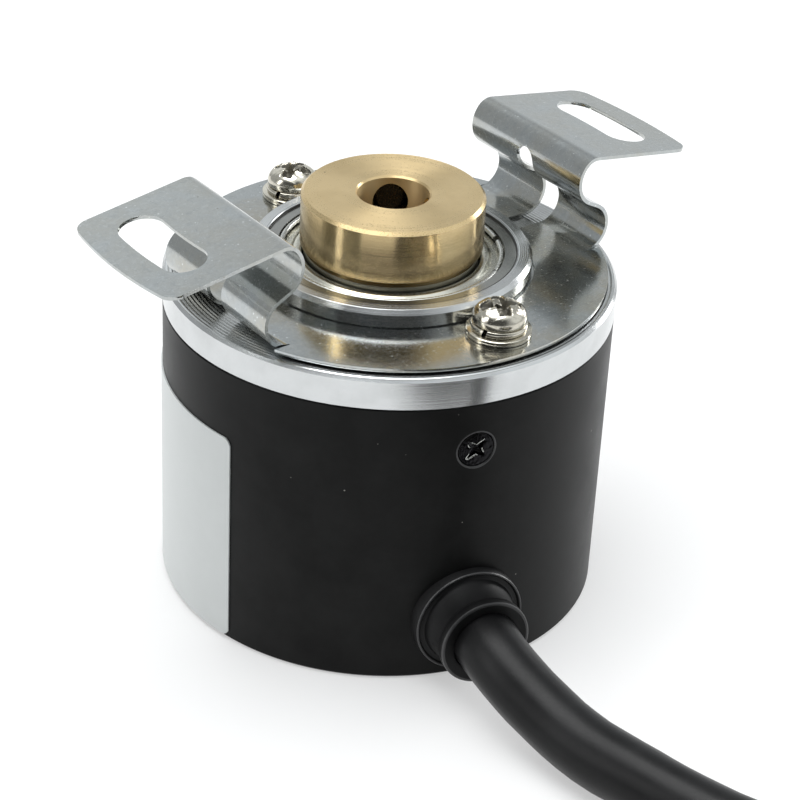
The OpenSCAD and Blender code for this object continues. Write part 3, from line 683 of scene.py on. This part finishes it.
def half_outline(side):
    """The blank's outline round one arm, from its right side to its left."""
    corner = 1.4
    c = S_TIP - TIP_R
    turn = math.degrees(math.asin((ARM_Y - corner) / (TIP_R - corner)))
    x, y = arc((c, 0), TIP_R - corner, turn, turn, 1)[0]
    points = [(BEND_X, -ARM_Y - RELIEF), (BEND_X, -ARM_Y)]
    points += arc((x, -y), corner, -90, -turn, 8)
    points += arc((c, 0), TIP_R, -turn, turn, 14)[1:-1]
    points += arc((x, y), corner, turn, 90, 8)
    points += [(BEND_X, ARM_Y), (BEND_X, ARM_Y + RELIEF)]
    edge = math.degrees(math.asin((ARM_Y + RELIEF) / PLATE_R))
    points += arc((0, 0), PLATE_R, edge, 180 - edge, 80)
    return [(x * side, y * side) for x, y in points]


def inner_outline():
    """The middle hole, with the two arm windows that open into it."""
    half, end = WINDOW_HALF, WINDOW_END - WINDOW_HALF
    mouth = math.degrees(math.asin(half / HOLE_R))
    corner = [(12.75, half), (12.25, half + 0.12), (11.9, half + 0.5)]
    out = []
    for side in (1, -1):
        points = arc((end, 0), half, -90, 90, 12) + corner
        points += arc((0, 0), HOLE_R, mouth + 5, 175 - mouth, 72)
        points += [(-x, y) for x, y in reversed(corner)]
        out += [(x * side, y * side) for x, y in points]
    return out


def slot_outline(side):
    """The ear's slot, curved with the tip, with round ends."""
    half, reach = 1.9, 3.0
    c = S_TIP - TIP_R
    r = S_SLOT - c
    turn = math.degrees(math.asin(reach / r))
    top = arc((c, 0), r, turn, turn, 1)[0]
    points = arc((c, 0), r + half, -turn, turn, 12)
    points += arc(top, half, turn, turn + 180, 20)[1:-1]
    points += arc((c, 0), r - half, turn, -turn, 12)
    points += arc((top[0], -top[1]), half, 180 - turn, 360 - turn, 20)[1:-1]
    return [(x * side, y) for x, y in points]


def inside(point, loop):
    """Whether a flat point is within a closed outline."""
    x, y = point
    hit = False
    for (x0, y0), (x1, y1) in zip(loop, loop[1:] + loop[:1]):
        if (y0 > y) != (y1 > y) and x < x0 + (x1 - x0) * (y - y0) / (y1 - y0):
            hit = not hit
    return hit


def make_bracket():
    """The pressed sheet: its flat blank is cut into triangles, bent, and then given its thickness."""
    outer = half_outline(1) + half_outline(-1)
    holes = [inner_outline(), slot_outline(1), slot_outline(-1)]
    holes += [arc((0, s * SCREW_Y), SCREW_HOLE_R, 0, 352.5, 47) for s in (1, -1)]
    points, edges = [], []
    for loop in [outer] + holes:
        first = len(points)
        points += [Vector(p) for p in loop]
        edges += [(first + i, first + (i + 1) % len(loop)) for i in range(len(loop))]
    rows = [BEND_X + (S_LOW - BEND_X) * i / 18 for i in range(19)]
    rows += [S_RUN + (S_HIGH - S_RUN) * i / 16 for i in range(17)]
    rows += [S_HIGH + (S_EAR - S_HIGH) * i / 10 for i in range(1, 11)]
    rows += [BEND_X - 0.12, S_LOW + 0.1, S_RUN - 0.1, S_EAR + 0.12]
    across = [-ARM_Y, -7.1, -6, -4.5, -3, -1.8, 0, 1.8, 3, 4.5, 6, 7.1, ARM_Y]
    for s in [side * row for side in (1, -1) for row in rows]:
        first = len(points)
        points += [Vector((s, y)) for y in across]
        edges += [(first + i, first + i + 1) for i in range(len(across) - 1)]
    flat, _, triangles, *_ = delaunay_2d_cdt(points, edges, [], 0, 1e-5)
    keep = []
    for tri in triangles:
        middle = sum((flat[i] for i in tri), Vector((0, 0))) / len(tri)
        if inside(middle, outer) and not any(inside(middle, hole) for hole in holes):
            keep.append(tuple(tri))
    bracket = mesh_object("bracket_sheet", [bent(p.x, p.y) for p in flat], keep, "housing", 70)
    bm = bmesh.new()
    bm.from_mesh(bracket.data)
    bmesh.ops.delete(bm, geom=[v for v in bm.verts if not v.link_faces], context="VERTS")
    bm.to_mesh(bracket.data)
    bm.free()
    solid = bracket.modifiers.new("thickness", "SOLIDIFY")
    solid.thickness, solid.offset, solid.use_even_offset = SHEET * MM, 0, True
    merge = bracket.modifiers.new("flats", "DECIMATE")
    merge.decimate_type, merge.angle_limit = "DISSOLVE", math.radians(0.5)
    bevel = bracket.modifiers.new("rim", "BEVEL")
    bevel.width, bevel.segments = 0.075 * MM, 3
    bevel.limit_method, bevel.angle_limit = "ANGLE", math.radians(50)
    weighted = bracket.modifiers.new("normals", "WEIGHTED_NORMAL")
    weighted.keep_sharp, weighted.weight = True, 90
    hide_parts("mounting_bracket")
    sheet_metal.dress(bracket)


make_bracket()

# ---------- fine pieces ----------

# Each bracket screw's place and turn, and the stack on the plate: flat washer, spring washer, head
BRACKET_SCREWS = [(Matrix.Translation((0, SCREW_Y, 0)), 30), (Matrix.Translation((0, -SCREW_Y, 0)), 68)]
WASHER_Z = PLATE_Z + SHEET / 2
SPRING_Z = WASHER_Z + 0.5
HEAD_Z = SPRING_Z + 0.6
HEAD_R, HEAD_EDGE, HEAD_RISE, HEAD_STEPS = 2.2, 0.45, 1.17, 56


def grooved(name, r0, r1, z, pitch, depth):
    """A thin ring of real turning grooves on a flat face of the housing."""
    count = round((r1 - r0) / pitch)
    profile = [(r0, z - 0.01)]
    for i in range(count):
        r = r0 + (r1 - r0) * i / count
        profile += [(r + pitch * 0.06, z + 0.003), (r + pitch * 0.42, z + depth * 0.9),
                    (r + pitch * 0.58, z + depth), (r + pitch * 0.94, z + 0.008)]
    profile.append((r1, z - 0.01))
    verts, faces = lathe(profile, 256, closed=False)
    ring = mesh_object(name, verts, faces, "housing", 80)
    flange_metal.dress(ring)


def make_turned_faces():
    """The coarse grooves on the rim's top and the fine ones on the boss's."""
    grooved("rim_grooves", 15.06, 18.74, RIM_TOP, 0.32, 0.07)
    grooved("boss_grooves", 10.66, 11.46, BOSS_TOP, 0.16, 0.014)


def head_top(share):
    """The height of a pan head's top at a share of its radius."""
    return HEAD_Z + HEAD_EDGE + HEAD_RISE * max(0, 1 - share ** 3) ** 0.6


def pan_head(place, turn):
    """A worn cross-recess pan head, with a burred recess, and its threaded shank."""
    turn = math.radians(turn)

    def carve(p):
        x = p.x * math.cos(turn) + p.y * math.sin(turn)
        y = -p.x * math.sin(turn) + p.y * math.cos(turn)
        along, across = max(abs(x), abs(y)), min(abs(x), abs(y))
        if p.z < HEAD_Z + 0.5 or along > 1.75:
            return p
        arm = min(1, max(0, (0.54 - across) / 0.2)) * ease((1.66 - along) / 0.12)
        middle = min(1, max(0, (0.92 - (abs(x) + abs(y)) / 1.25) / 0.2))
        cut = max(arm * (1.05 - 0.5 * along), middle * 0.95)
        burr = 0.06 * ease(1 - abs(across - 0.58) / 0.1) * ease((1.6 - along) / 0.2)
        rough = 0.05 * noise.noise(Vector((p.x * 2.6, p.y * 2.6, turn))) * ease((1.8 - along) / 0.5)
        return Vector((p.x, p.y, p.z - cut + burr * (0.4 + noise.noise(p * 3)) + rough - 0.03))

    edge = [(1.2, HEAD_Z), (2.1, HEAD_Z), (2.17, HEAD_Z + 0.06), (HEAD_R, HEAD_Z + 0.15)]
    top = [(HEAD_R * i / HEAD_STEPS, head_top(i / HEAD_STEPS)) for i in range(HEAD_STEPS, -1, -1)]
    head = lathe(edge + top, 144, closed=False, wobble=carve)
    thread = []
    for i in range(15):
        thread += [(1.24, HEAD_Z - 0.1 - 0.45 * i), (1.02, HEAD_Z - 0.32 - 0.45 * i)]
    shank = lathe([(1.2, HEAD_Z + 0.02)] + thread + [(0, HEAD_Z - 6.95)], 32, closed=False)
    return [([place @ v for v in verts], faces) for verts, faces in (head, shank)]


def split_ring(place, cut):
    """A spring washer: a ring cut through, its two ends a little apart in height."""
    steps = 90
    section = rounded([(1.8, 0.02), (1.4, 0.02), (1.38, 0.3), (1.4, 0.56), (2.24, 0.56), (2.34, 0.3),
                       (2.24, 0.02), (1.8, 0.02)], 0.1)[:-1]
    verts, faces = [], []
    for k in range(steps + 1):
        t = k / steps
        rise = (0.5 - t) * 0.04
        for r, z in section:
            a = math.radians(cut + 5 + 350 * t) + (z - 0.3) * 0.12
            verts.append(place @ Vector((r * math.cos(a), r * math.sin(a), SPRING_Z + z + rise)))
    n = len(section)
    for k in range(steps):
        for i in range(n):
            j = (i + 1) % n
            faces.append((k * n + i, (k + 1) * n + i, (k + 1) * n + j, k * n + j))
    faces += [tuple(range(n)), tuple(steps * n + i for i in range(n))]
    return verts, faces


def in_recess(p):
    """Whether a point is on the deep or steep part of a bracket screw's recess."""
    near = min((p - place.translation).to_2d().length for place, _ in BRACKET_SCREWS)
    return near < 1.65 and HEAD_Z + 0.2 < p.z < head_top(near / HEAD_R) - 0.16


def make_fasteners():
    """The bracket's screws, with a spring washer and two thin flat washers under each."""
    heads, rings, flats = [], [], []
    profile = [(1.36, 0.01), (2.58, 0.01), (2.65, 0.05), (2.65, 0.2), (2.57, 0.25), (2.65, 0.3), (2.65, 0.45),
               (2.58, 0.49), (1.36, 0.49)]
    for place, turn in BRACKET_SCREWS:
        heads += pan_head(place, turn)
        rings.append(split_ring(place, 200))
        flats.append(lathe([(r, WASHER_Z + z) for r, z in profile], 96, place))
    for name, parts, node in (("pan_screws", heads, "bracket_screws"),
                              ("spring_washers", rings, "lock_washers"),
                              ("washer_pairs", flats, "flat_washers")):
        piece = mesh_object(name, *join_parts(parts), "housing", 42)
        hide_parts(node)
        screw_metal.dress(piece)
        if piece.name == "pan_screws":
            # The deep and steep faces of each recess take the painted shade.
            finish_part(piece, screw_recess_shade, in_recess)


def make_seams():
    """A near-black ring in the joint round the front bearing, as painted shade, and the tongue in its snap
    ring's gap.
    """
    section = [(10.43, 30.4), (10.57, 30.4), (10.56, 30.67), (10.45, 30.66)]
    seam = mesh_object("bearing_seam_shade", *lathe(section, 160), "housing", 60)
    painted_seam_shade.dress(seam)
    path = [Vector((x, y, 30.3)) for x, y in arc((0, 0), 9.2, -58.5, -24, 24)]
    tongue = mesh_object("snap_ring_tongue", *sweep(path, 0.2, 14), "housing", 50)
    ring_metal.dress(tongue)


def make_shields():
    """The front bearing's two shields, stamped with a raised inner land."""
    bearing_middle = 28
    outer = [(7.46, 29.75), (7.46, 30.02), (7.56, 30.12), (7.9, 30.16), (8.1, 30.12), (8.3, 29.98),
             (8.45, 29.91), (9.48, 29.91), (9.48, 29.66), (8.4, 29.66), (8.05, 29.84), (7.6, 29.84)]
    outer = rounded(outer + outer[:1], 0.08)[:-1]
    inner = [(r, 2 * bearing_middle - z) for r, z in outer]
    shields = mesh_object("dished_shields", *join_parts([lathe(outer, 128), lathe(inner, 96)]), "housing", 50)
    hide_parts("front_shields")
    shield_metal.dress(shields)


SIDE_FACE_R = BODY_R - 0.1


def side_screw_places():
    """Where the faces of the three screws in the can's wall are: Z points out and X down."""
    out = Matrix.Translation((SIDE_FACE_R, 0, SIDE_Z)) @ Matrix.Rotation(math.radians(90), 4, "Y")
    return [Matrix.Rotation(math.radians(SIDE_AZ + 120 * k), 4, "Z") @ out for k in range(3)]


def star_gap(p):
    """How far a point on a side screw's face is outside its four-pointed recess."""
    x, y = (p.x + p.y) * math.sqrt(0.5), (p.x - p.y) * math.sqrt(0.5)
    along, across = max(abs(x), abs(y)), min(abs(x), abs(y))
    return max(across - 0.4 + 0.3 * along, along - 1.08)


def make_side_screws():
    """The black screws that hold the can, their worn recesses, and the rims of their holes."""
    def carve(p):
        if p.z < -0.06 or p.to_2d().length > 1.45:
            return p
        cut = 0.5 * ease(-star_gap(p) / 0.12) * (1 - 0.5 * p.to_2d().length)
        return Vector((p.x, p.y, p.z - cut + 0.02 * noise.noise(p * 4)))

    def on_can(p):
        return Vector((p.x, p.y, p.z + math.sqrt(BODY_R ** 2 - p.y ** 2) - SIDE_FACE_R))

    face = [(1.46 * i / 44, 0.06 * (1 - (i / 44) ** 2)) for i in range(44, -1, -1)]
    head = [(0.98, -4.5), (0.98, -0.6), (1.45, -0.1), (1.5, -0.05), (1.49, -0.02)] + face
    rim = [(1.57, -0.1), (1.6, 0), (1.66, 0.025), (1.76, -0.01)]
    places = side_screw_places()
    parts = [lathe(head, 120, place, False, carve) for place in places]
    heads = mesh_object("side_screw_heads", *join_parts(parts), "housing", 40)
    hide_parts("side_screws")
    worn_black.dress(heads)

    def worn(p):
        local = min((place.inverted() @ p for place in places), key=lambda v: v.length)
        return -0.03 < star_gap(local) < 0.07 and local.z > -0.1 and noise.noise(p * 1.5) > 0.12

    finish_part(heads, ring_metal, worn)
    parts = [lathe(rim, 72, place, False, on_can) for place in places]
    rims = mesh_object("side_screw_rims", *join_parts(parts), "housing", 60)
    # The hole rims take the lighter black as a painted highlight.
    edge_wear_and_sheen.dress(rims)


def make_cable_root():
    """The end of the jacket inside the can, up to where the cord starts."""
    path = [out_along(r) for r in (13, 15, 17, 19.2)]
    root = mesh_object("cable_root", *sweep(path, CABLE_R - 0.02, 28), "housing", 60)
    jacket.dress(root)


make_turned_faces()
make_fasteners()
make_seams()
make_shields()
make_side_screws()
make_cable_root()

# ---------- floor and light ----------


def area_light(name, place, size, power):
    """A soft light at a place in metres, aimed at the middle of the encoder."""
    data = bpy.data.lights.new(name, "AREA")
    data.shape = "RECTANGLE"
    data.size, data.size_y = size
    data.energy = power
    light = bpy.data.objects.new(name, data)
    bpy.context.scene.collection.objects.link(light)
    light.location = place
    light.rotation_mode = "QUATERNION"
    light.rotation_quaternion = (Vector((0, 0, 0.02)) - Vector(place)).to_track_quat("-Z", "Y")


def make_stage():
    """A pale floor. It glows a little, so that it goes white without washing out the soft shadow."""
    size = 3
    corners = [(-size, -size, 0), (size, -size, 0), (size, size, 0), (-size, size, 0)]
    mesh = bpy.data.meshes.new("floor")
    mesh.from_pydata(corners, [], [(0, 1, 2, 3)])
    floor = bpy.data.objects.new("floor", mesh)
    bpy.context.scene.collection.objects.link(floor)
    material = bpy.data.materials.new("floor_paper")
    material.use_nodes = True
    shader = material.node_tree.nodes["Principled BSDF"]
    shader.inputs["Base Color"].default_value = (0.5, 0.5, 0.5, 1)
    shader.inputs["Roughness"].default_value = 0.8
    shader.inputs["Specular IOR Level"].default_value = 0.1
    shader.inputs["Emission Color"].default_value = (1, 1, 1, 1)
    shader.inputs["Emission Strength"].default_value = 0.46
    mesh.materials.append(material)


def make_world():
    """A grey studio with soft white panels and two dark ones."""
    grey = 0.48
    # azimuth and elevation of the middle, inner and outer half-angle, and how much it adds
    panels = [(0, 90, 26, 42, 0.85), (80, 24, 8, 24, 0.5), (48, 6, 10, 34, 0.3), (318, 28, 14, 34, 0.5),
              (160, 28, 3, 8, 0.6), (146, 26, 4, 12, -0.2), (217, 26, 34, 56, -0.4)]
    world = bpy.data.worlds.new("studio")
    bpy.context.scene.world = world
    world.use_nodes = True
    tree = world.node_tree
    place = tree.nodes.new("ShaderNodeTexCoord").outputs["Generated"]
    total = None
    for azimuth, elevation, inner, outer, radiance in panels:
        az, el = math.radians(azimuth), math.radians(elevation)
        dot = tree.nodes.new("ShaderNodeVectorMath")
        dot.operation = "DOT_PRODUCT"
        towards = (math.cos(az) * math.cos(el), math.sin(az) * math.cos(el), math.sin(el))
        dot.inputs[1].default_value = towards
        tree.links.new(place, dot.inputs[0])
        panel = tree.nodes.new("ShaderNodeMapRange")
        panel.interpolation_type = "SMOOTHSTEP"
        limits = (math.cos(math.radians(outer)), math.cos(math.radians(inner)), 0, radiance)
        for i, value in enumerate(limits, 1):
            panel.inputs[i].default_value = value
        tree.links.new(dot.outputs["Value"], panel.inputs[0])
        add = tree.nodes.new("ShaderNodeMath")
        add.inputs[1].default_value = grey
        if total:
            tree.links.new(total, add.inputs[1])
        tree.links.new(panel.outputs[0], add.inputs[0])
        total = add.outputs[0]
    background = tree.nodes["Background"]
    background.inputs["Color"].default_value = (0.95, 0.985, 1, 1)
    tree.links.new(total, background.inputs["Strength"])


make_stage()
make_world()
area_light("key", (-0.06, 0.12, 0.7), (0.5, 0.4), 3.2)
area_light("side", (-0.55, 0.15, 0.3), (0.12, 0.4), 0.6)
area_light("edge", (0.5, 0.02, 0.16), (0.1, 0.3), 0.8)
bpy.context.scene.view_settings.view_transform = "Standard"
